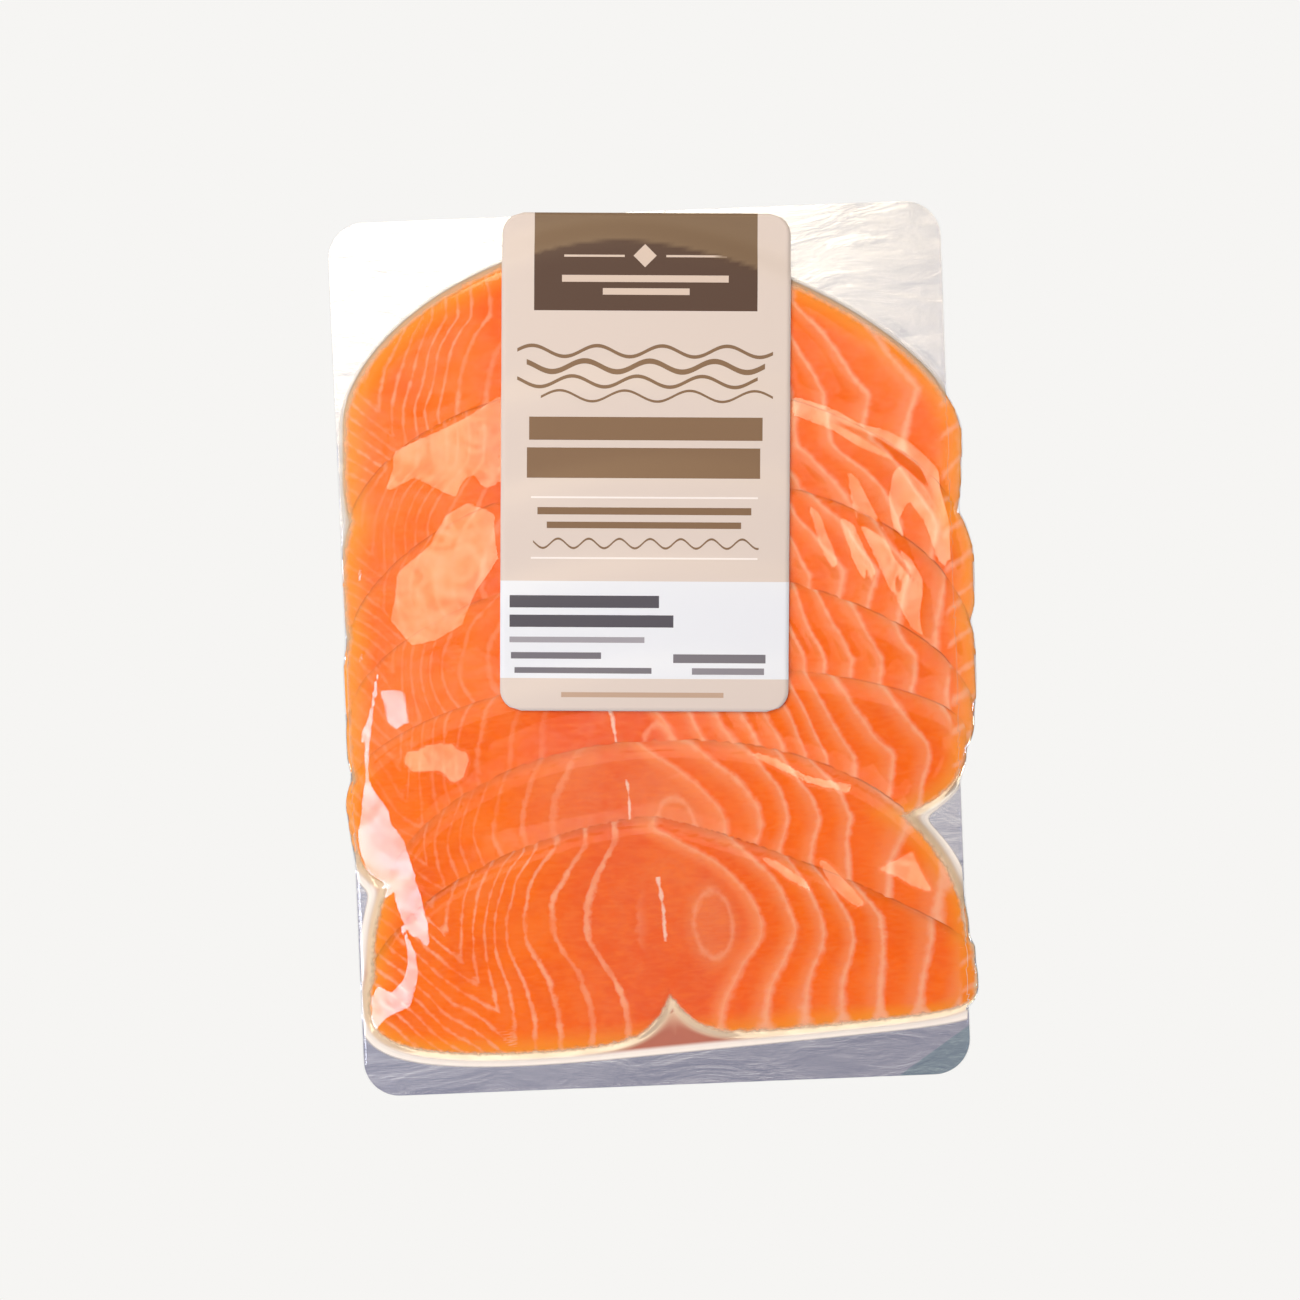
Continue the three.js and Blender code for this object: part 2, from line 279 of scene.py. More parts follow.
def eased(field, sigma):
    """A field on the grid, blurred over that many millimetres."""
    fy = np.fft.fftfreq(field.shape[0], CELL)[:, None]
    fx = np.fft.rfftfreq(field.shape[1], CELL)[None, :]
    kept = np.exp(-2 * (math.pi * sigma) ** 2 * (fx**2 + fy**2))
    return np.fft.irfft2(np.fft.rfft2(field) * kept, s=field.shape)


def wander(seed, sigma):
    """A smooth random field on the grid, about -1 to 1, the same on every run."""
    field = eased(np.random.default_rng(seed).standard_normal(GRID_X.shape), sigma)
    return field / (2 * field.std())


def at(field, x, y):
    """A field of the grid, read at any points."""
    i = np.clip((y - YS[0]) / CELL, 0, len(YS) - 1.001)
    j = np.clip((x - XS[0]) / CELL, 0, len(XS) - 1.001)
    i0, j0 = i.astype(int), j.astype(int)
    di, dj = i - i0, j - j0
    lower = field[i0, j0] * (1 - dj) + field[i0, j0 + 1] * dj
    upper = field[i0 + 1, j0] * (1 - dj) + field[i0 + 1, j0 + 1] * dj
    return lower * (1 - di) + upper * di


def fat_lines(piece, x, y, number):
    """Per point: counts that are whole on a fat line, and how far apart the lines lie there."""
    dense = piece.get("dense", 1)
    warp_x = at(wander(100 + number, 7) * 1.5 * dense + wander(300 + number, 2.5) * 0.45, x, y)
    warp_y = at(wander(200 + number, 7) * 1.5 * dense + wander(400 + number, 2.5) * 0.45, x, y)
    p = x + warp_x - piece["anchor"][0]
    q = y + warp_y - piece["anchor"][1]
    lines = {"across": p, "along": q}

    lines["ring"] = np.hypot(p - RING_CENTRE, q / 1.7)
    below = 1 - np.exp(-((np.minimum(q, 0) / 13) ** 2))
    above = np.clip(q, 0, 26)
    stand = p.copy()
    for _ in range(SOLVING_STEPS):
        drawn = np.interp(stand, RIGHT_LINES, DRAWN_IN) * below
        lean = np.interp(stand, RIGHT_LINES, LEAN) * above * piece["lean"]
        rounded = np.interp(stand, RIGHT_LINES, ROUND) * above**2
        stand = 0.6 * stand + 0.4 * (p + drawn + lean + rounded)
    count = np.arange(len(RIGHT_LINES))
    lines["right_count"] = np.interp(stand, RIGHT_LINES, count) * dense
    lines["right_pitch"] = np.interp(stand, RIGHT_LINES[:-1], np.diff(RIGHT_LINES)) / dense

    left = -p
    bow = np.exp(-((np.minimum(q, 0) / 14) ** 2))
    foot = left.copy()
    for _ in range(SOLVING_STEPS):
        drawn = np.interp(foot, LEFT_LINES, LEFT_DRAWN_IN) * bow
        foot = 0.6 * foot + 0.4 * (left - drawn + 0.017 * np.clip(q, 0, 24) ** 2)
    count = np.arange(len(LEFT_LINES))
    upright = np.interp(foot, LEFT_LINES, count)
    slant = (p - CHEVRON_CORNER[0]) * CHEVRON_NORMAL[0] + (q - CHEVRON_CORNER[1]) * CHEVRON_NORMAL[1]
    slanted = 6 - slant / CHEVRON_PITCH
    lines["left_count"] = np.minimum(upright, slanted)
    upright_pitch = np.interp(foot, LEFT_LINES[:-1], np.diff(LEFT_LINES))
    lines["left_pitch"] = np.where(upright < slanted, upright_pitch, CHEVRON_PITCH)
    lines["belt_count"] = (q - BELT_SLANT * p) / BELT_PITCH * BELT_COSINE
    return lines


def new_piece(name, points, faces, material):
    mesh = bpy.data.meshes.new(name)
    mesh.from_pydata((np.asarray(points) * MM).tolist(), [], faces)
    mesh.polygons.foreach_set("use_smooth", [True] * len(mesh.polygons))
    mesh.materials.append(material)
    made = bpy.data.objects.new(name, mesh)
    bpy.context.scene.collection.objects.link(made)
    return made


def add_field(piece, name, values):
    field = piece.data.attributes.new(name, "FLOAT", "POINT")
    field.data.foreach_set("value", np.asarray(values, np.float32))


# What each slice lies on, and its own top, as heights above the pack's underside.
depth_of = [edge_distance(s, GRID_X, GRID_Y) for s in SLICES]
beds = []
tops = []
bed = np.full(GRID_X.shape, CARD_THICKNESS + FOIL_GAP)
wrapped = np.zeros(GRID_X.shape)
for s, depth in zip(SLICES, depth_of):
    height = film_height(s, GRID_X, GRID_Y, depth)
    beds.append(bed)
    top = np.where(depth >= 0, np.maximum(LUMP_BASE + 0.15 + height, bed + THINNEST), bed)
    tops.append(top)
    wrapped = np.maximum(wrapped, np.where(depth >= 0, top - LUMP_BASE, height))
    bed = np.maximum(bed, top)

# The film's height: tight over the slices, softly bridging the steps, with a few ripples.
showing = np.zeros(GRID_X.shape, int)
for number, depth in enumerate(depth_of):
    showing = np.where(depth > 0, number, showing)
ripples = np.zeros(GRID_X.shape)
for number, s in enumerate(SLICES):
    lines = fat_lines(s, GRID_X, GRID_Y, number)
    far = smooth(lines["across"], 18, 34) * s["ripple"]
    near_left = smooth(-lines["across"], 30, 40) * smooth(GRID_X, -70, -58) * s["ripple"] * 0.3
    wave = -np.cos(2 * math.pi * lines["right_count"]) * far
    wave = wave - np.cos(2 * math.pi * lines["left_count"]) * near_left
    ripples = np.where(showing == number, wave, ripples)
within = np.max(depth_of, axis=0)

# How far beside the fish a point lies, without the last slice's notch and with the sharp corners
# between slices rounded off over about that many millimetres.
BRIDGE = 1.2
unnotched_last = {name: value for name, value in SLICES[-1].items() if name != "notch"}
unnotched_depths = depth_of[:-1] + [edge_distance(unnotched_last, GRID_X, GRID_Y)]
nearness = [np.exp(np.clip(d, -60, 20) / BRIDGE) for d in unnotched_depths]
beside_fish = -BRIDGE * np.log(np.sum(nearness, axis=0))
unnotched_within = np.max(unnotched_depths, axis=0)
under_film = smooth(within, 0, 6)
slack = wander(11, 11) * 0.3 + wander(12, 4.5) * 0.05
tight = eased(wrapped, 0.9)
solid_here = (within > 3).astype(float)
taut = eased(wrapped * solid_here, 6.5) / np.maximum(eased(solid_here, 6.5), 0.05)
film_top = tight + (taut - tight) * smooth(within, 3, 7)
film_top = film_top + eased(under_film * (ripples + slack), 0.8)

# Where the film stands off the fish and tips towards the light: a loop of corners, the tip across
# and along the pack as rise over run, the share of the film's own slope that it takes away, and
# how many millimetres its edge is blurred.
LIFTS = [
    ([(-68.5, 58.2), (-58.6, 62.3), (-48.7, 66.4), (-38.6, 72.4), (-39.0, 49.2), (-43.8, 47.2),
      (-47.6, 51.2), (-50.5, 49.1), (-52.3, 44.7), (-57.8, 47.7), (-63.2, 51.0), (-71.8, 47.2),
      (-69.3, 53.2)],
     0, -0.19, 0.6, 0.5),
    ([(-69.3, 24.7), (-59.8, 31.9), (-55.3, 40.1), (-49.0, 43.5), (-41.9, 39.6), (-41.3, 27.0),
      (-47.8, 18.9), (-52.3, 9.3), (-59.5, 5.4), (-66.5, 4.2), (-71.8, 11.4)],
     0, -0.15, 0.6, 0.5),
    ([(-69.7, -26.8), (-69.0, -25.0), (-65.9, -24.8), (-63.4, -23.4), (-59.7, -22.9), (-56.0, -23.3),
      (-54.8, -24.9), (-51.8, -25.7), (-51.9, -28.7), (-53.3, -33.0), (-56.5, -34.7), (-58.8, -32.1),
      (-60.6, -30.5), (-64.3, -30.9), (-68.0, -30.5), (-69.5, -28.6)],
     0, -0.22, 0.6, 0.5),
    ([(42.2, 68.9), (51.8, 65.7), (60.0, 60.9), (68.3, 58.3), (75.1, 54.4), (81.8, 47.7), (85.8, 35.8),
      (85.8, 20.5), (83.3, 22.0), (81.2, 31.8), (76.6, 41.8), (69.4, 49.9), (59.8, 54.7), (53.0, 59.5),
      (42.0, 64.4)],
     0.06, -0.2, 0.6, 0.5),
    ([(69.3, 47.7), (74.9, 49.7), (80.3, 44.4), (83.5, 33.1), (83.5, 19.2), (80.8, 22.1), (77.1, 33.4),
      (73.1, 39.1), (70.1, 33.7), (73.8, 22.3), (79.0, 11.0), (76.2, 11.1), (69.8, 25.3), (67.5, 39.4)],
     0.06, -0.19, 0.6, 0.5),
    ([(56.2, 48.2), (59.4, 45.3), (64.0, 35.3), (68.3, 24.0), (76.2, 12.5), (78.5, -0.2), (73.0, 2.8),
      (66.6, 15.7), (61.0, 28.4), (57.7, 38.4)],
     0.06, -0.19, 0.6, 0.5),
    ([(45.2, 38.9), (48.4, 35.9), (52.9, 23.2), (51.6, 19.0), (48.1, 27.6)],
     0.06, -0.2, 0.6, 0.5),
    ([(53.4, 35.7), (57.5, 32.8), (63.4, 20.0), (61.5, 14.5), (57.1, 23.0)],
     0.06, -0.2, 0.6, 0.5),
    ([(24.3, -28.2), (32.6, -30.7), (42.2, -36.1), (54.6, -39.4), (53.1, -41.6), (42.1, -38.6),
      (32.5, -33.2)],
     0.06, -0.2, 0.6, 0.5),
    ([(26.8, -57.3), (32.8, -59.8), (41.0, -65.7), (42.5, -69.1), (35.4, -64.9)],
     0.06, -0.27, 0.6, 0.5),
    ([(43.5, -58.8), (47.3, -60.9), (56.9, -72.5), (54.6, -74.1), (47.9, -67.4)],
     0.06, -0.27, 0.6, 0.5),
    ([(60.1, -63.1), (70.6, -58.5), (73.1, -64.7), (76.0, -70.4), (70.2, -68.5), (66.1, -65.6)],
     0.06, -0.28, 0.6, 0.5),
    ([(-75.7, 0.9), (-75.4, -1.4), (-77.0, -9.9), (-78.8, -19.0), (-79.9, -28.2), (-79.4, -34.4),
      (-76.9, -38.4), (-74.8, -41.3), (-74.4, -45.0), (-71.2, -49.2), (-69.2, -55.7), (-68.0, -61.3),
      (-66.7, -65.6), (-65.4, -73.0), (-64.6, -80.2), (-66.5, -79.1), (-68.3, -76.4), (-69.6, -76.8),
      (-71.9, -72.8), (-73.4, -67.8), (-73.9, -62.9), (-75.0, -64.7), (-78.0, -66.4), (-78.9, -63.9),
      (-81.1, -58.9), (-83.3, -51.4), (-83.1, -46.5), (-81.9, -40.4), (-80.8, -33.1), (-80.9, -28.2),
      (-79.8, -19.0), (-77.9, -9.9)],
     0.3, 0, 0.95, 0.5),
    ([(-72.1, -72.8), (-70.5, -77.7), (-69.0, -80.9), (-68.3, -87.0), (-69.5, -92.5), (-71.2, -96.8),
      (-74.4, -97.9), (-78.1, -99.6), (-82.6, -104.3), (-84.3, -107.9), (-82.5, -102.4), (-84.6, -101.7),
      (-81.7, -97.6), (-82.2, -94.5), (-79.6, -90.3), (-76.0, -92.3), (-72.8, -89.3), (-71.4, -85.1),
      (-71.1, -78.9), (-72.7, -74.6)],
     0.3, 0, 0.95, 0.5),
    ([(-77.0, -7.0), (-67.8, -7.4), (-66.8, -18.6), (-68.6, -18.9), (-69.2, -16.6), (-70.2, -19.4),
      (-72.6, -19.2), (-74.8, -17.4), (-75.4, -12.4)],
     0.125, 0, 0.6, 1.0),
]
LIFT_SHARE = 0.2  # the share of a tip that is built, the rest is in the film's shading
FILM_GAP = 0.12  # the film over the bare card
FILM_RISE = 0.28  # what it rises more over the fish
lift_shapes = [inside_loop(lift[0], GRID_X, GRID_Y).astype(float) for lift in LIFTS]
for (loop, tip_x, tip_y, _, _), shape in zip(LIFTS, lift_shapes):
    middle = np.mean(loop, axis=0)
    plane = tip_x * (GRID_X - middle[0]) + tip_y * (GRID_Y - middle[1])
    film_top = film_top + LIFT_SHARE * plane * eased(shape, 1.5)
film_top = CARD_THICKNESS + FILM_GAP + np.maximum(film_top, 0) + FILM_RISE * smooth(wrapped, 0.2, 1.2)
film_top = np.maximum(film_top, eased(np.where(within > 0, bed + 0.3, film_top), 0.8))

# Raw salmon, cold smoked and wet with its own oil: translucent orange, paler where fat runs. The
# slices' meshes carry what it is drawn from: places from the anchor, counts that are whole on a fat
# line with the pitch there, how far inside its rim and inside all the fish a point lies, and shares.
salmon = new_material("salmon_cold_smoked")
t = salmon.node_tree
FIELDS = (
    "across", "along", "ring", "edge_shade", "right_count", "right_pitch", "left_count",
    "left_pitch", "left_bold", "belt_count", "rim", "outer", "side", "pale", "fray",
)
field = {name: node(t, "ShaderNodeAttribute", attribute_name=name).outputs["Fac"] for name in FIELDS}
place = node(t, "ShaderNodeTexCoord").outputs["Object"]
ragged = node(t, "ShaderNodeTexNoise", {"Vector": place, "Scale": 420.0, "Detail": 3.0})
cloudy = node(t, "ShaderNodeTexNoise", {"Vector": place, "Scale": 55.0, "Detail": 4.0, "Roughness": 0.6})
broken = node(t, "ShaderNodeTexNoise", {"Vector": place, "Scale": 90.0, "Detail": 2.0})


def line_mask(count, pitch, width_share, blur):
    """1 on the fat lines, 0 between them: lines take that share of the pitch each side."""
    whole = node(t, "ShaderNodeMath", {0: count}, operation="ROUND").outputs[0]
    jitter = node(
        t, "ShaderNodeMath", {0: ragged.outputs["Fac"], 1: 2.0, 2: -1.0}, operation="MULTIPLY_ADD"
    ).outputs[0]
    off = count
    for operation, other in (
        ("SUBTRACT", {1: whole}),
        ("ABSOLUTE", {}),
        ("SUBTRACT", {1: width_share}),
        ("MULTIPLY", {1: pitch}),
        ("ADD", {1: jitter}),
    ):
        off = node(t, "ShaderNodeMath", {0: off, **other}, operation=operation).outputs[0]
    return node(
        t,
        "ShaderNodeMapRange",
        {"Value": off, 1: -blur, 2: blur, 3: 1.0, 4: 0.0},
        **SOFT,
    ).outputs[0]


widen = node(
    t, "ShaderNodeMapRange", {"Value": field["along"], 1: -6.0, 2: -26.0, 3: 0.045, 4: 0.09}
).outputs[0]
flare = node(
    t, "ShaderNodeMapRange", {"Value": field["outer"], 1: 5.0, 2: 1.0, 3: 0.0, 4: 0.13}, **SOFT
).outputs[0]
flare = node(t, "ShaderNodeMath", {0: flare, 1: field["fray"]}, operation="MULTIPLY").outputs[0]
widen = node(t, "ShaderNodeMath", {0: widen, 1: flare}, operation="ADD").outputs[0]
right_lines = line_mask(field["right_count"], field["right_pitch"], widen, 1.2)
ring_count = node(t, "ShaderNodeMath", {0: field["ring"], 1: 0.19}, operation="MULTIPLY").outputs[0]
ring_line = line_mask(ring_count, 5.3, 0.08, 0.8)
left_lines = line_mask(field["left_count"], field["left_pitch"], 0.075, 0.55)
belt_lines = line_mask(field["belt_count"], BELT_PITCH / BELT_COSINE, 0.08, 0.8)

on_right = node(
    t, "ShaderNodeMapRange", {"Value": field["right_count"], 1: 1.4, 2: 1.8}, **SOFT
).outputs[0]
in_ring = node(
    t, "ShaderNodeMapRange", {"Value": field["ring"], 1: 8.2, 2: 7.6, 3: 0.0, 4: 0.5}
).outputs[0]
on_left = node(
    t, "ShaderNodeMapRange", {"Value": field["across"], 1: -5.0, 2: -14.0}, **SOFT
).outputs[0]
in_belt = node(
    t, "ShaderNodeMapRange", {"Value": field["side"], 1: BELT_WIDTH, 2: BELT_WIDTH - 1.5}, **SOFT
).outputs[0]
out_of_belt = node(t, "ShaderNodeMath", {0: 1.0, 1: in_belt}, operation="SUBTRACT").outputs[0]
bold = node(
    t, "ShaderNodeMapRange", {"Value": field["right_count"], 1: 1.6, 2: 3.0, 3: 0.6, 4: 0.9}
).outputs[0]
patchy = node(
    t, "ShaderNodeMapRange", {"Value": broken.outputs["Fac"], 1: 0.38, 2: 0.6, 3: 0.35, 4: 0.85}
).outputs[0]
off_middle = node(t, "ShaderNodeMath", {0: field["ring"], 1: 2.6}, operation="GREATER_THAN").outputs[0]
fat = 0.0
for part, shares in (
    (right_lines, (on_right, out_of_belt, bold)),
    (left_lines, (on_left, patchy, field["left_bold"])),
    (belt_lines, (in_belt, 0.6)),
    (ring_line, (in_ring, off_middle)),
):
    for share in shares:
        part = node(t, "ShaderNodeMath", {0: part, 1: share}, operation="MULTIPLY").outputs[0]
    fat = node(t, "ShaderNodeMath", {0: fat, 1: part}, operation="MAXIMUM").outputs[0]

# The middle of each slice is pinker and paler. The rim is yellower: partly its smoked colour, partly a
# painted glow of light through the thin flesh.
middle = node(t, "ShaderNodeMath", {0: field["across"], 1: 0.033}, operation="MULTIPLY").outputs[0]
middle = node(t, "ShaderNodeMath", {0: middle, 1: middle}, operation="MULTIPLY").outputs[0]
middle = node(
    t, "ShaderNodeMapRange", {"Value": middle, 1: 1.6, 2: 0.0, 3: 0.0, 4: 0.85}, **SOFT
).outputs[0]
middle_colour = node(
    t,
    "ShaderNodeMix",
    {"Factor": field["pale"], "A": linear("#EE561E"), "B": linear("#F08658")},
    data_type="RGBA",
).outputs["Result"]
surface = node(
    t,
    "ShaderNodeMix",
    {"Factor": middle, "A": linear("#FF760C"), "B": middle_colour},
    data_type="RGBA",
).outputs["Result"]
# Each band of muscle is deep orange beside the fat line it starts from and paler towards the next: partly
# the flesh's own tone, partly painted shade and light, as on a band that rises between its lines.
through_band = node(t, "ShaderNodeMath", {0: field["right_count"]}, operation="FRACT").outputs[0]
band_deep_and_shade = node(t, "ShaderNodeMapRange", {"Value": through_band, 1: 0.7, 2: 0.1, 3: 0.0, 4: 0.7}).outputs[0]
band_pale_and_lit = node(
    t, "ShaderNodeMapRange", {"Value": through_band, 1: 0.4, 2: 1.0, 3: 0.0, 4: 0.95}, **SOFT
).outputs[0]
# Fine fibres run across the bands, and the flesh is cloudy.
fibre_place = node(t, "ShaderNodeVectorMath", {0: place, 1: (260, 900, 300)}, operation="MULTIPLY")
fibres = node(
    t,
    "ShaderNodeTexNoise",
    {"Vector": fibre_place.outputs[0], "Scale": 1.0, "Detail": 4.0, "Distortion": 0.8},
)
cloud_pale, cloud_deep, fibre_pale, fibre_deep = [
    node(t, "ShaderNodeMapRange", {0: noise.outputs["Fac"], 1: none, 2: full, 3: 0.0, 4: most}).outputs[0]
    for noise, none, full, most in (
        (cloudy, 0.48, 0.72, 0.4),
        (cloudy, 0.52, 0.3, 0.45),
        (fibres, 0.4, 0.75, 0.4),
        (fibres, 0.5, 0.25, 0.3),
    )
]
# The yellower rim: partly smoked colour, partly a painted glow of light shining through the thin flesh.
smoked_and_glowing_rim = node(
    t, "ShaderNodeMapRange", {"Value": field["outer"], 1: 0.5, 2: 9.0, 3: 0.8, 4: 0.0}, **SOFT
).outputs[0]
# Threads of white tissue where the lobes meet.
slanted = node(t, "ShaderNodeMath", {0: field["along"], 1: 0.09, 2: 1.4}, operation="MULTIPLY_ADD")
thread = node(t, "ShaderNodeMath", {0: field["across"], 1: slanted.outputs[0]}, operation="ADD").outputs[0]
thread = node(t, "ShaderNodeMath", {0: thread}, operation="ABSOLUTE").outputs[0]
thread = node(
    t, "ShaderNodeMath", {0: ragged.outputs["Fac"], 1: 1.6, 2: thread}, operation="MULTIPLY_ADD"
).outputs[0]
thread = node(t, "ShaderNodeMapRange", {"Value": thread, 1: 0.9, 2: 1.4, 3: 0.8, 4: 0.0}).outputs[0]
in_thread = node(t, "ShaderNodeMath", {0: field["along"], 1: 4.5, 2: 9.0}, operation="COMPARE").outputs[0]
# A painted shade along a slice's edge where it lies over the slice below.
step_shade = node(
    t, "ShaderNodeMapRange", {"Value": field["rim"], 1: 0.4, 2: 1.6, 3: 1.0, 4: 0.0}, **SOFT
).outputs[0]
inland = node(t, "ShaderNodeMapRange", {"Value": field["outer"], 1: 3.0, 2: 6.0}).outputs[0]
frayed = node(
    t, "ShaderNodeMath", {0: ragged.outputs["Fac"], 1: 3.0, 2: field["outer"]}, operation="MULTIPLY_ADD"
).outputs[0]
frayed = node(
    t, "ShaderNodeMapRange", {"Value": frayed, 1: 1.2, 2: 3.4, 3: 0.95, 4: 0.0}, **SOFT
).outputs[0]
# The layers of colour on the flesh, from the lowest up: the colour and the shares it shows by.
for colour, share, *others in (
    ("#FF8E46", cloud_pale),
    ("#EC5418", cloud_deep),
    ("#FF935A", band_pale_and_lit, on_right, out_of_belt),
    ("#FF6600", band_deep_and_shade, on_right),
    ("#FF8838", fibre_pale),
    ("#F86A08", fibre_deep),
    ("#FFA02E", smoked_and_glowing_rim),
    ("#FFB48A", fat),
    ("#FFDCC4", thread, in_thread),
    ("#D9480F", step_shade, field["edge_shade"], inland),
    ("#FBDDB4", frayed, field["fray"]),
):
    for other in others:
        share = node(t, "ShaderNodeMath", {0: share, 1: other}, operation="MULTIPLY").outputs[0]
    surface = node(
        t, "ShaderNodeMix", {"Factor": share, "A": surface, "B": linear(colour)}, data_type="RGBA"
    ).outputs["Result"]

# Light spreads inside the thin rims, so they look as bright as if they faced up.
spread = node(t, "ShaderNodeMapRange", {"Value": field["rim"], 1: 0.0, 2: 3.5, 3: 3.0, 4: 0.0}).outputs[0]
lifted = node(t, "ShaderNodeCombineXYZ", {"Z": spread}).outputs[0]
lifted = node(
    t,
    "ShaderNodeVectorMath",
    {0: node(t, "ShaderNodeNewGeometry").outputs["Normal"], 1: lifted},
    operation="ADD",
).outputs[0]
lifted = node(t, "ShaderNodeVectorMath", {0: lifted}, operation="NORMALIZE").outputs[0]
body = node(
    t,
    "ShaderNodeBsdfPrincipled",
    {
        "Base Color": surface,
        "Normal": lifted,
        "Roughness": 0.5,
        "Specular IOR Level": 0.0,
        "Subsurface Weight": 0.2,
        "Subsurface Radius": (1.0, 0.35, 0.12),
        "Subsurface Scale": 0.002,
    },
)
node(t, "ShaderNodeOutputMaterial", {"Surface": body.outputs[0]})

angles = np.linspace(0, 2 * math.pi, SLICE_ANGLES, endpoint=False)
for number, s in enumerate(SLICES):
    cos_a, sin_a = np.cos(angles), np.sin(angles)
    near = np.zeros(SLICE_ANGLES)
    far = np.full(SLICE_ANGLES, 200.0)
    for _ in range(HALVINGS):
        half = (near + far) / 2
        u, v = in_slice(s, s["centre"][0] + half * cos_a, s["centre"][1] + half * sin_a)
        inner = outwards(s, u, v) < 1
        near, far = np.where(inner, half, near), np.where(inner, far, half)
    rings = [near - d for d in RIM_DEPTHS]
    rings += [(near - RIM_DEPTHS[-1]) * (1 - k / INNER_RINGS) for k in range(1, INNER_RINGS)]
    radius = np.array(rings)
    x = np.append((s["centre"][0] + radius * cos_a).ravel(), s["centre"][0])
    y = np.append((s["centre"][1] + radius * sin_a).ravel(), s["centre"][1])
    top = np.minimum(at(tops[number], x, y), at(film_top, x, y) - UNDER_FILM)
    splay = SPLAY * (1 - smooth(np.abs(s["centre"][0] + near * cos_a), 80, 84)) + 0.02
    inner_x = s["centre"][0] + (near + splay) * cos_a
    inner_y = s["centre"][1] + (near + splay) * sin_a
    low_x = np.append(inner_x, s["centre"][0])
    low_y = np.append(inner_y, s["centre"][1])
    low = np.append(top[:SLICE_ANGLES], top[-1]) - LEAST_RIM
    low = np.minimum(at(beds[number], low_x, low_y) + OVER_BED, low)
    points = np.column_stack([np.append(x, low_x), np.append(y, low_y), np.append(top, low)])
    count = len(rings) * SLICE_ANGLES
    faces = []
    for k in range(len(rings) - 1):
        for a in range(SLICE_ANGLES):
            b = (a + 1) % SLICE_ANGLES
            r, o = k * SLICE_ANGLES, (k + 1) * SLICE_ANGLES
            faces.append((r + a, r + b, o + b, o + a))
    last = count - SLICE_ANGLES
    for a in range(SLICE_ANGLES):
        b = (a + 1) % SLICE_ANGLES
        under = count + 1
        faces.append((last + a, last + b, count))
        faces.append((under + b, under + a, under + SLICE_ANGLES))
        faces.append((under + a, under + b, b, a))
    piece = new_piece(f"slice_{number + 1}", points, faces, salmon)
    x, y = points[:, 0], points[:, 1]
    lines = fat_lines(s, x, y, number)
    lines["rim"] = np.maximum(edge_distance(s, x, y), 0)
    lines["outer"] = np.maximum(at(unnotched_within, x, y), 0)
    lines["side"] = BELT_EDGE - x
    lines["left_bold"] = np.full(len(points), s["left_bold"])
    lines["pale"] = s.get("pale", 0) + s.get("ring_pale", 0) * (1 - smooth(lines["ring"], 6, 9))
    lines["fray"] = 0.25 + 0.75 * smooth(-y, 40, 70)
    lines["edge_shade"] = np.full(len(points), s.get("edge_shade", 0))
    for name, values in lines.items():
        add_field(piece, name, values)
    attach(piece, "root")
    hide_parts("sealed_slices")


# The film is a clear nylon and polyethylene pouch, shrunk tight over the fish and round the card
# by the vacuum. It is one closed skin: over the slices, round the edges and across the back.
FILM_ROWS = 326
FILM_COLUMNS = 234
BACK_COLUMNS = 16
END_GAP = 0.2
SIDE_GAP = 0.25
BACK_INSET = 0.3
# How far the outermost columns turn down round the card: millimetres, or a share of their height
# where the film lies on the card.
EDGE_DROPS = {0: 0.495, 1: 0.108, -1: 0.495, -2: 0.108}
ON_CARD = 1.3  # the film lies on the card below this level

rows = np.linspace(-CARD_LENGTH / 2 - END_GAP, CARD_LENGTH / 2 + END_GAP, FILM_ROWS)
from_end = np.clip(CARD_CORNER - (CARD_LENGTH / 2 + END_GAP - np.abs(rows)), 0, CARD_CORNER)
half_card = CARD_WIDTH / 2 + SIDE_GAP - (CARD_CORNER - np.sqrt(CARD_CORNER**2 - from_end**2))
fish = np.max([np.where(d > -0.45, 1.0, 0.0) for d in depth_of], axis=0)
right_side = np.empty(FILM_ROWS)
left_side = np.empty(FILM_ROWS)
for i, y in enumerate(rows):
    row = at(fish, XS, np.full(len(XS), y)) > 0.5
    reach_right = XS[row].max() if row.any() else 0
    reach_left = -XS[row].min() if row.any() else 0
    right_side[i] = max(half_card[i], reach_right)
    left_side[i] = max(half_card[i], reach_left)
kernel = np.exp(-np.linspace(-2, 2, 9) ** 2)
kernel = kernel / kernel.sum()


def eased_side(side):
    """The film's reach by row, eased over a few rows and never inside the card's edge."""
    padded = np.pad(side - half_card, 4, mode="edge")
    return np.maximum(np.convolve(padded, kernel, "valid") + half_card, half_card)


right_side = eased_side(right_side)
left_side = eased_side(left_side)

share = np.linspace(0, 1, FILM_COLUMNS)
points = []
for i, y in enumerate(rows):
    x = -left_side[i] + (right_side[i] + left_side[i]) * share
    z = at(film_top, x, np.full(len(x), y))
    for k, drop in EDGE_DROPS.items():
        z[k] = z[k] - drop * (z[k] if z[k] < ON_CARD else 1.0)
    if i in (0, FILM_ROWS - 1):
        z = z * 0.5
    points.append(np.column_stack([x, np.full(len(x), y), z]))
back_share = np.linspace(0, 1, BACK_COLUMNS + 1)[1:-1]
for i, y in enumerate(rows):
    x = -left_side[i] + BACK_INSET + (right_side[i] + left_side[i] - 2 * BACK_INSET) * back_share
    beyond = np.maximum(np.abs(x) - CARD_WIDTH / 2, 0)
    points.append(np.column_stack([x, np.full(len(x), y), np.minimum(beyond * 0.12, 0.9) - 0.02]))
points = np.concatenate(points)
faces = []
for i in range(FILM_ROWS - 1):
    r, o = i * FILM_COLUMNS, (i + 1) * FILM_COLUMNS
    for j in range(FILM_COLUMNS - 1):
        faces.append((r + j, r + j + 1, o + j + 1, o + j))
back = FILM_ROWS * FILM_COLUMNS
width = len(back_share)
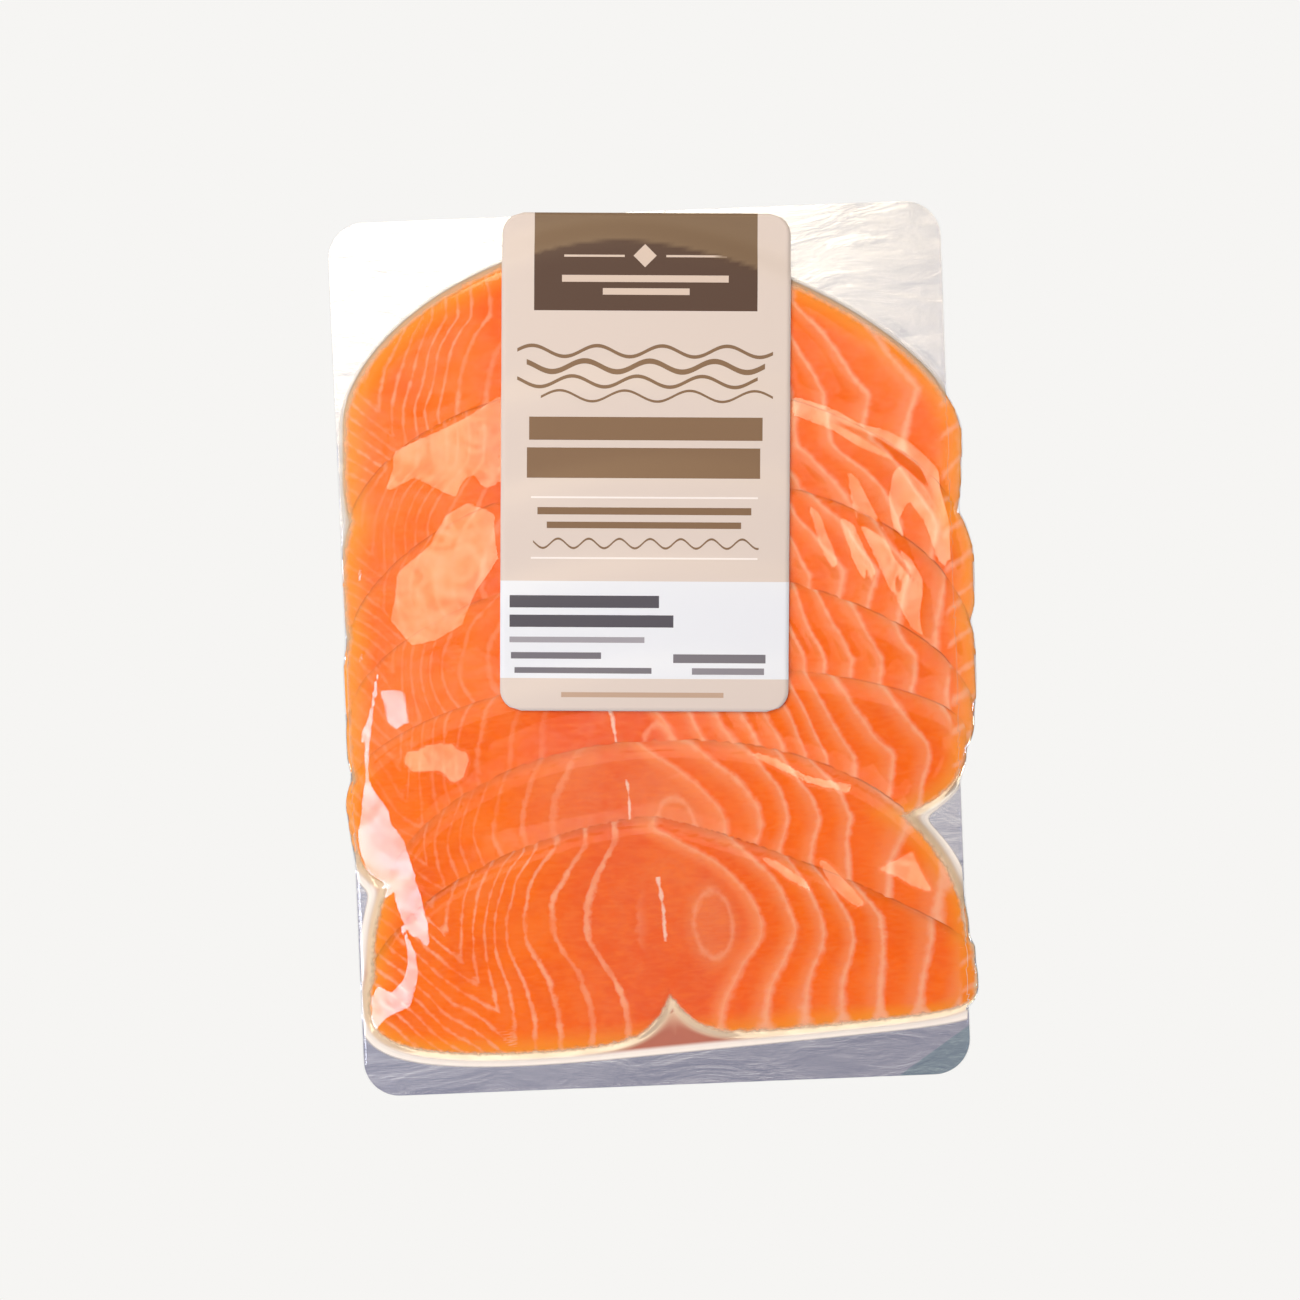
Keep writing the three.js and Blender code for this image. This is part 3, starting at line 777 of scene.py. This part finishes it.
for i in range(FILM_ROWS - 1):
    r = [i * FILM_COLUMNS] + [back + i * width + j for j in range(width)] + [(i + 1) * FILM_COLUMNS - 1]
    o = [(i + 1) * FILM_COLUMNS] + [back + (i + 1) * width + j for j in range(width)]
    o += [(i + 2) * FILM_COLUMNS - 1]
    for j in range(len(r) - 1):
        faces.append((r[j + 1], r[j], o[j], o[j + 1]))
for i, forward in ((0, True), (FILM_ROWS - 1, False)):
    top_edge = list(range(i * FILM_COLUMNS, (i + 1) * FILM_COLUMNS))
    under_edge = [back + i * width + j for j in range(width)]
    loop = under_edge + top_edge[::-1]
    faces.append(tuple(loop) if forward else tuple(loop[::-1]))

# The shine's own slopes: those of the film, calmer along the rims, and each lift's inside its loop.
slope_y, slope_x = np.gradient(film_top, CELL)
near_step = np.full(GRID_X.shape, 99.0)
for number, depth in enumerate(depth_of):
    near_step = np.where(showing <= number, np.minimum(near_step, np.abs(depth)), near_step)
calm = 0.9 * (1 - smooth(near_step, 2.5, 6))
tips = [-calm * slope_x, -calm * slope_y]
for (_, tip_x, tip_y, own, blur), shape in zip(LIFTS, lift_shapes):
    crisp = smooth(eased(shape, blur), 0.25, 0.75)
    tips[0] = tips[0] + (tip_x - own * slope_x - tips[0]) * crisp
    tips[1] = tips[1] + (tip_y - own * slope_y - tips[1]) * crisp

# Clear polyethylene film, blown and glossy. Beside the fish a milky layer of pooled oil lies under it, and
# a white line painted along the foot of its tent stands for that slope's highlight.
clear_film = new_material("polyethylene_film_clear")
t = clear_film.node_tree
tip_x, tip_y, beside, bare, fray = [
    node(t, "ShaderNodeAttribute", attribute_name=name).outputs["Fac"]
    for name in ("tip_x", "tip_y", "beside", "bare", "fray")
]
tip = node(t, "ShaderNodeCombineXYZ", {"X": tip_x, "Y": tip_y}).outputs[0]
facing = node(t, "ShaderNodeNewGeometry").outputs["Normal"]
tipped = node(t, "ShaderNodeVectorMath", {0: facing, 1: tip}, operation="ADD").outputs[0]
tipped = node(t, "ShaderNodeVectorMath", {0: tipped}, operation="NORMALIZE").outputs[0]
gloss = node(t, "ShaderNodeBsdfGlossy", {"Color": (1, 1, 1, 1), "Roughness": 0.06, "Normal": tipped})
through = node(t, "ShaderNodeBsdfTransparent", {"Color": (1, 1, 1, 1)})
film_place = node(t, "ShaderNodeTexCoord").outputs["Object"]
torn = node(t, "ShaderNodeTexNoise", {"Vector": film_place, "Scale": 420.0, "Detail": 3.0}).outputs["Fac"]
torn = node(t, "ShaderNodeMath", {0: torn, 1: 2.4, 2: bare}, operation="MULTIPLY_ADD").outputs[0]
gap_haze = node(
    t, "ShaderNodeMapRange", {"Value": torn, 1: -1.0, 2: 1.1, 3: 0.0, 4: 0.95}, **SOFT
).outputs[0]
gap_end = node(
    t, "ShaderNodeMapRange", {"Value": beside, 1: 2.5, 2: 3.3, 3: 1.0, 4: 0.0}, **SOFT
).outputs[0]
pale_film_share = node(t, "ShaderNodeMath", {0: gap_haze, 1: gap_end}, operation="MULTIPLY").outputs[0]
# A painted highlight: a white line along the foot of the film's tent, beside the fish.
tent_highlight = node(t, "ShaderNodeMath", {0: beside, 1: 2.3}, operation="SUBTRACT").outputs[0]
tent_highlight = node(t, "ShaderNodeMath", {0: tent_highlight}, operation="ABSOLUTE").outputs[0]
tent_highlight = node(
    t, "ShaderNodeMapRange", {"Value": tent_highlight, 1: 0.25, 2: 0.9, 3: 1.0, 4: 0.0}, **SOFT
).outputs[0]
pale_film_share = node(t, "ShaderNodeMath", {0: pale_film_share, 1: tent_highlight}, operation="MAXIMUM").outputs[0]
pale_film_share = node(t, "ShaderNodeMath", {0: pale_film_share, 1: fray}, operation="MULTIPLY").outputs[0]
oily = node(
    t, "ShaderNodeMapRange", {"Value": beside, 1: 0.2, 2: 1.6, 3: 1.0, 4: 0.0}, **SOFT
).outputs[0]
far_off = node(
    t, "ShaderNodeMapRange", {"Value": bare, 1: 0.3, 2: 2.4, 3: 0.0, 4: 1.0}, **SOFT
).outputs[0]
pooled = node(
    t,
    "ShaderNodeMix",
    {"Factor": far_off, "A": linear("#FFE4BE"), "B": linear("#C07660")},
    data_type="RGBA",
).outputs["Result"]
pale_film_colour = node(
    t,
    "ShaderNodeMix",
    {"Factor": oily, "A": linear("#FFF8EC"), "B": pooled},
    data_type="RGBA",
).outputs["Result"]
level_up = node(t, "ShaderNodeCombineXYZ", {"Z": 1.0}).outputs[0]
pale_film = node(t, "ShaderNodeBsdfDiffuse", {"Color": pale_film_colour, "Normal": level_up})
under_shine = node(t, "ShaderNodeMixShader", {0: pale_film_share, 1: through.outputs[0], 2: pale_film.outputs[0]})
# The film is too thin to bend light: from inside, its index is turned round, so that both sides
# shine alike.
from_inside = node(t, "ShaderNodeNewGeometry").outputs["Backfacing"]
index = node(t, "ShaderNodeMapRange", {"Value": from_inside, 3: 1.5, 4: 1 / 1.5}).outputs[0]
shine = node(t, "ShaderNodeFresnel", {"IOR": index}).outputs[0]
# Where the film stands off the fish, both its faces and the wet fish shine, unevenly.
uneven = node(
    t, "ShaderNodeTexNoise", {"Vector": film_place, "Scale": 110.0, "Detail": 3.0, "Distortion": 1.5}
)
uneven = node(
    t, "ShaderNodeMapRange", {"Value": uneven.outputs["Fac"], 1: 0.35, 2: 0.65, 3: 0.8, 4: 1.5}
).outputs[0]
shine = node(t, "ShaderNodeMath", {0: shine, 1: uneven}, operation="MULTIPLY").outputs[0]
film_mix = node(
    t, "ShaderNodeMixShader", {0: shine, 1: under_shine.outputs[0], 2: gloss.outputs[0]}
)
node(t, "ShaderNodeOutputMaterial", {"Surface": film_mix.outputs[0]})

film = new_piece("film", points, faces, clear_film)
UPPER_FROM = 0.6  # the film's points above this level are on its upper side
FAR_OFF = 9  # a distance from the fish at which nothing is milky
x, y = points[:, 0], points[:, 1]
upper = points[:, 2] > UPPER_FROM
beside = np.where(upper, at(beside_fish, x, y), FAR_OFF)
low_end = smooth(-y, 30, 60)
beside = np.where(beside > 0, beside * (2.2 - 1.2 * low_end), beside)
add_field(film, "beside", np.where(np.abs(x) < CARD_WIDTH / 2 - 0.3, beside, FAR_OFF))
add_field(film, "fray", 0.45 + 0.55 * low_end)
for name, values in (("bare", within), ("tip_x", tips[0]), ("tip_y", tips[1])):
    add_field(film, name, np.where(upper, -at(values, x, y), 0))
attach(film, "root")
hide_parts("sealed_slices")


# The label is coated paper, printed in brown and stuck on the film after sealing. Its print is
# plain shapes in the colours and places of a pack label: no words, no marks.
LABEL_WIDTH = 80
LABEL_LENGTH = 138
LABEL_CORNER = 6
LABEL_THICKNESS = 0.35
LABEL_CENTRE = (0.6, 52.6)
LABEL_TURN = math.radians(-2.6)
LABEL_GAP = 0.4
LABEL_REACH = 3
LABEL_EASE = 2.3

bridged = wrapped.copy()
steps = int(LABEL_REACH / CELL)
for turn in range(0, 360, 45):
    shift_y = round(steps * math.sin(math.radians(turn)))
    shift_x = round(steps * math.cos(math.radians(turn)))
    bridged = np.maximum(bridged, np.roll(wrapped, (shift_y, shift_x), axis=(0, 1)))
paper = eased(bridged, LABEL_EASE) + LUMP_BASE + 0.3 + LABEL_GAP
paper = np.maximum(paper, film_top + 0.05)

label_rows = np.linspace(-LABEL_LENGTH / 2, LABEL_LENGTH / 2, 139)
label_columns = np.linspace(-1, 1, 61)
points = []
flat = []
for top_side in (1, 0):
    for v in label_rows:
        inset = max(0, LABEL_CORNER - (LABEL_LENGTH / 2 - abs(v)))
        half = LABEL_WIDTH / 2 - LABEL_CORNER + math.sqrt(max(LABEL_CORNER**2 - inset**2, 0))
        u = half * label_columns
        x = LABEL_CENTRE[0] + u * math.cos(LABEL_TURN) - v * math.sin(LABEL_TURN)
        y = LABEL_CENTRE[1] + u * math.sin(LABEL_TURN) + v * math.cos(LABEL_TURN)
        points.append(np.column_stack([x, y, at(paper, x, y) + LABEL_THICKNESS * top_side]))
        flat.append(np.column_stack([u, np.full(len(u), v)]))
points = np.concatenate(points)
flat = np.concatenate(flat)
across, many = len(label_columns), len(label_rows)
faces = []
for i in range(many - 1):
    for j in range(across - 1):
        a, b = i * across + j, (i + 1) * across + j
        faces.append((a, a + 1, b + 1, b))
        under = many * across
        faces.append((under + a, under + b, under + b + 1, under + a + 1))
under = many * across
last = (many - 1) * across
for j in range(across - 1):
    faces.append((under + j, under + j + 1, j + 1, j))
    faces.append((under + last + j + 1, under + last + j, last + j, last + j + 1))
for i in range(many - 1):
    a, b = i * across, (i + 1) * across
    faces.append((under + b, under + a, a, b))
    a, b = a + across - 1, b + across - 1
    faces.append((under + a, under + b, b, a))

# Coated paper, offset printed, satin.
printed_paper = new_material("coated_paper_printed")
t = printed_paper.node_tree
u = node(t, "ShaderNodeAttribute", attribute_name="label_u").outputs["Fac"]
v = node(t, "ShaderNodeAttribute", attribute_name="label_v").outputs["Fac"]
printed = linear("#DDD1C5")
BROWN = "#85694C"
DARK = "#563F31"
PALE = "#D9C7B5"
GREY = "#55535A"
# Each printed bar's left, lower, right and upper edge from the label's centre, and its colour.
PRINT = [
    (-31.0, 41.8, 30.8, 72.0, DARK),
    (-22.7, 56.6, -6.0, 57.2, PALE),
    (5.5, 56.6, 22.3, 57.2, PALE),
    (-23.3, 49.7, 22.8, 51.6, PALE),
    (-12.0, 46.2, 12.0, 48.0, PALE),
    (-32.2, 6.0, 32.4, 12.4, BROWN),
    (-32.8, -4.5, 31.8, 3.9, BROWN),
    (-31.6, -10.1, 31.2, -9.6, "#F7F1EA"),
    (-29.8, -14.6, 29.4, -12.6, BROWN),
    (-27.2, -18.4, 26.6, -16.6, BROWN),
    (-31.6, -26.9, 31.2, -26.4, "#F7F1EA"),
    (-41, -60.0, 41, -33.0, "#E9EFF2"),
    (-37.4, -40.4, 4.0, -37.0, GREY),
    (-37.4, -45.8, 8.0, -42.4, GREY),
    (-37.4, -50.1, 0.0, -48.5, "#A3A1A6"),
    (-37.0, -54.6, -12.0, -52.8, "#76747A"),
    (-36.0, -58.6, 2.0, -57.0, "#76747A"),
    (8.0, -55.6, 33.6, -53.2, "#76747A"),
    (13.2, -58.8, 33.2, -57.0, "#8C8A90"),
    (-23.0, -65.2, 22.0, -63.8, "#C2A68E"),
]
layers = []
for u0, v0, u1, v1, colour in PRINT:
    in_u = node(t, "ShaderNodeMath", {0: u, 1: (u0 + u1) / 2, 2: (u1 - u0) / 2}, operation="COMPARE")
    in_v = node(t, "ShaderNodeMath", {0: v, 1: (v0 + v1) / 2, 2: (v1 - v0) / 2}, operation="COMPARE")
    both = node(t, "ShaderNodeMath", {0: in_u.outputs[0], 1: in_v.outputs[0]}, operation="MULTIPLY")
    layers.append((both.outputs[0], colour))
# Beyond the fish's edge, where the paper bends down to the card, a painted sheen makes the dark field
# lighter.
past_fish = node(t, "ShaderNodeAttribute", attribute_name="past_fish").outputs["Fac"]
in_u = node(t, "ShaderNodeMath", {0: u, 1: -0.1, 2: 30.9}, operation="COMPARE").outputs[0]
painted_sheen = node(t, "ShaderNodeMath", {0: past_fish, 1: in_u}, operation="MULTIPLY").outputs[0]
layers.append((painted_sheen, "#80694F"))
# A plain lozenge on the dark field.
lozenge = 0.0
for way, middle in ((u, -0.35), (v, 57.0)):
    off = node(t, "ShaderNodeMath", {0: way, 1: middle}, operation="SUBTRACT").outputs[0]
    off = node(t, "ShaderNodeMath", {0: off}, operation="ABSOLUTE").outputs[0]
    lozenge = node(t, "ShaderNodeMath", {0: lozenge, 1: off}, operation="ADD").outputs[0]
lozenge = node(t, "ShaderNodeMath", {0: lozenge, 1: 3.2}, operation="LESS_THAN").outputs[0]
layers.append((lozenge, PALE))
# The wave lines' left and right end, level, rise, length, half their thickness, and phase.
WAVES = [
    (-35.6, 35.2, 30.6, 1.5, 18.0, 0.5, 0.0),
    (-33.0, 33.0, 26.4, 1.5, 18.0, 0.75, 1.2),
    (-35.6, 31.0, 22.2, 1.5, 18.0, 0.5, 2.4),
    (-29.0, 35.2, 18.2, 1.5, 18.0, 0.35, 3.6),
    (-31.0, 31.5, -22.6, 1.3, 8.5, 0.3, 0.5),
]
for u0, u1, level, rise, length, half, phase in WAVES:
    bend = node(
        t, "ShaderNodeMath", {0: u, 1: 2 * math.pi / length, 2: phase}, operation="MULTIPLY_ADD"
    ).outputs[0]
    bend = node(t, "ShaderNodeMath", {0: bend}, operation="SINE").outputs[0]
    line = node(t, "ShaderNodeMath", {0: bend, 1: rise, 2: level}, operation="MULTIPLY_ADD").outputs[0]
    in_line = node(t, "ShaderNodeMath", {0: v, 1: line, 2: half}, operation="COMPARE").outputs[0]
    in_u = node(t, "ShaderNodeMath", {0: u, 1: (u0 + u1) / 2, 2: (u1 - u0) / 2}, operation="COMPARE")
    both = node(t, "ShaderNodeMath", {0: in_u.outputs[0], 1: in_line}, operation="MULTIPLY")
    layers.append((both.outputs[0], BROWN))
for share, colour in layers:
    printed = node(
        t, "ShaderNodeMix", {"Factor": share, "A": printed, "B": linear(colour)}, data_type="RGBA"
    ).outputs["Result"]
paper_face = node(
    t, "ShaderNodeBsdfPrincipled", {"Base Color": printed, "Roughness": 0.5, "Specular IOR Level": 0.3}
)
node(t, "ShaderNodeOutputMaterial", {"Surface": paper_face.outputs[0]})

label = new_piece("paper_label", points, faces, printed_paper)
add_field(label, "label_u", flat[:, 0])
add_field(label, "label_v", flat[:, 1])
# Where the label passes the fish's edge: the place of the painted sheen on its dark field.
past_edge = -at(depth_of[0], points[:, 0], points[:, 1])
add_field(label, "past_fish", smooth(past_edge, -0.6, 0.2) * (flat[:, 1] > 50))
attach(label, "root")
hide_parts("label")


# The pack lies on a plain white table top, as wide as any view of it needs. It glows evenly, so it
# is as white as a cut-out picture's ground and takes no shadow.
bpy.ops.mesh.primitive_plane_add(size=6, location=(0, 0, -0.0004))
floor = bpy.context.object
floor.name = "table"
table_white = new_material("table_white")
t = table_white.node_tree
glow = node(t, "ShaderNodeEmission", {"Color": linear("#F6F5F3"), "Strength": 1.0})
node(t, "ShaderNodeOutputMaterial", {"Surface": glow.outputs[0]})
floor.data.materials.append(table_white)


# Studio light: a big softbox beyond the head end, a weak one overhead, a strip at the left, and a
# dim room. Each lamp's radiance stays the same when its size changes.
def softbox(name, place, aim, width, length, radiance, colour="#FFFFFF"):
    lamp = bpy.data.lights.new(name, "AREA")
    lamp.shape = "RECTANGLE"
    lamp.size = width
    lamp.size_y = length
    lamp.energy = radiance * math.pi * width * length
    lamp.color = linear(colour)[:3]
    made = bpy.data.objects.new(name, lamp)
    bpy.context.scene.collection.objects.link(made)
    made.location = place
    made.rotation_euler = (Vector(aim) - Vector(place)).to_track_quat("-Z", "Y").to_euler()
    return made


softbox("key_softbox", (-0.31, 0.96, 1.6), (-0.31, 0.96, 0), 0.88, 1.4, 5.8, "#FFEECB")
softbox("overhead_fill", (-0.1, -0.02, 1.6), (-0.1, -0.02, 0), 1.2, 0.38, 0.9, "#FFF2DC")
softbox("left_strip", (-0.85, -0.2, 1.15), (0, 0, 0), 0.3, 0.7, 12.0, "#E8ECFF")

world = bpy.data.worlds.new("room")
bpy.context.scene.world = world
world.use_nodes = True
t = world.node_tree
background = t.nodes["Background"]
sky_place = node(t, "ShaderNodeTexCoord").outputs["Generated"]
height = node(t, "ShaderNodeSeparateXYZ", {0: sky_place}).outputs["Z"]
aloft = node(t, "ShaderNodeMapRange", {"Value": height, 1: 0.1, 2: 0.55}).outputs[0]
room_colour = node(
    t,
    "ShaderNodeMix",
    {"Factor": aloft, "A": linear("#E2E0E8"), "B": linear("#D6D2EC")},
    data_type="RGBA",
).outputs["Result"]
t.links.new(room_colour, background.inputs["Color"])
dimming = node(t, "ShaderNodeMapRange", {"Value": height, 1: 0.1, 2: 0.55, 3: 1.0, 4: 0.39})
t.links.new(dimming.outputs[0], background.inputs["Strength"])


# The camera hangs over the pack, a little nearer its head end and turned a little. Its lens makes a
# pixel 0.279 mm wide in a picture of 1300 pixels.
AIM = Vector((0.0017, 0.0002, 0.001))
DISTANCE = 1.05
TILT = math.radians(2.6)
TURN = math.radians(2.3)
camera_data = bpy.data.cameras.new("overhead")
camera_data.sensor_width = 36
camera_data.lens = 36 * DISTANCE / (1300 * 0.279 * MM)
camera = bpy.data.objects.new("overhead", camera_data)
bpy.context.scene.collection.objects.link(camera)
back_off = Vector((0, math.sin(TILT), math.cos(TILT)))
camera.location = AIM + DISTANCE * back_off
camera.rotation_euler = (-TILT, 0, -TURN)
bpy.context.scene.camera = camera

bpy.context.scene.view_settings.view_transform = "Standard"
bpy.context.scene.cycles.use_denoising = True

bpy.context.view_layer.update()
